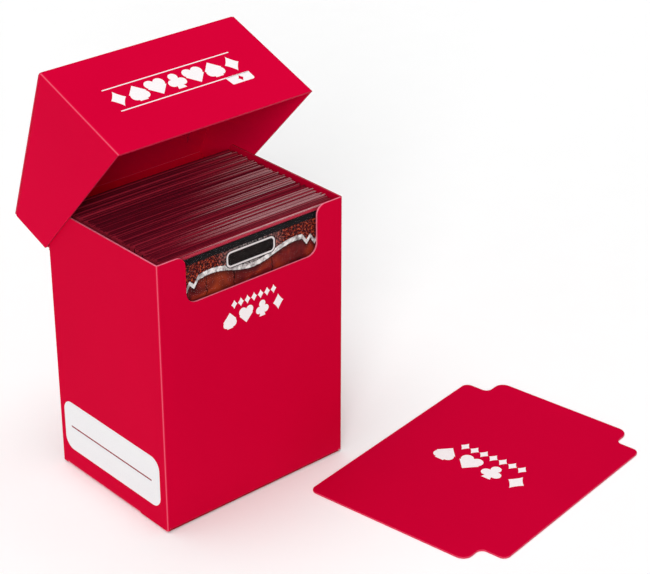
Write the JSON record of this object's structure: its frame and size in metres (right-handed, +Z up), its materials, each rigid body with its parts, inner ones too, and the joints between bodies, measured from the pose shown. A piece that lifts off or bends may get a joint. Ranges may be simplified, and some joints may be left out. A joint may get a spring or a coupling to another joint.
{
  "type": "card deck box",
  "caption": "Flip-top folded plastic box for sleeved playing cards, with a thumb notch, a write-on label, a hinged lid and a loose stepped card divider.",
  "frame": {"origin": "centre of the box's underside, on the surface it stands on", "axes": "+X to the right along the front wall as seen from the front, +Y towards the back wall and the lid's crease, +Z up; -Z is out of the underside"},
  "size_m": [0.1515, 0.151, 0.1369],
  "materials": {
    "red_polypropylene": "satin, smooth calendered sheet",
    "lid_polypropylene": "satin, smooth calendered sheet",
    "divider_polypropylene": "satin, smooth calendered sheet",
    "write_on_print": "matte white screen print",
    "sleeve_film": "gloss film, clear in front and red behind",
    "sleeved_cards": "edges of red sleeves, each with a card inside",
    "printed_card": null
  },
  "bodies": {
    "box": {"front_panel": "red_polypropylene", "back_panel": "red_polypropylene", "left_side_panel": "red_polypropylene", "right_side_panel": "red_polypropylene", "seam_glue_flap": "red_polypropylene", "bottom_panel": "red_polypropylene", "bottom_glue_flap": "red_polypropylene", "dust_flap_left": "red_polypropylene", "dust_flap_right": "red_polypropylene", "write_on_label": "write_on_print", "front_card_sleeve": "sleeve_film", "front_card": "printed_card", "card_pack_1": "sleeved_cards", "card_pack_2": "sleeved_cards", "card_pack_3": "sleeved_cards", "card_pack_4": "sleeved_cards", "card_pack_5": "sleeved_cards", "card_pack_6": "sleeved_cards", "card_pack_7": "sleeved_cards", "card_pack_8": "sleeved_cards"},
    "lid": {"lid_hinge_crease": "lid_polypropylene", "lid_back_panel": "lid_polypropylene", "lid_top_panel": "lid_polypropylene", "lid_front_panel": "lid_polypropylene", "lid_left_side": "lid_polypropylene", "lid_right_side": "lid_polypropylene", "lid_left_glue_tab": "lid_polypropylene", "lid_right_glue_tab": "lid_polypropylene"},
    "divider": {"card_divider": "divider_polypropylene"}
  },
  "joints": [
    {"name": "lid_hinge", "type": "hinge", "parent": "box", "child": "lid", "pos_m": [0, 0.028, 0.0775], "axis": [-1, 0, 0], "range_deg": [-70, 105], "deforming": ["lid_front_panel"]},
    {"name": "divider_lift", "type": "slide", "parent": "box", "child": "divider", "axis": [0, 0, 1], "range_m": [0, 0.12]}
  ]
}
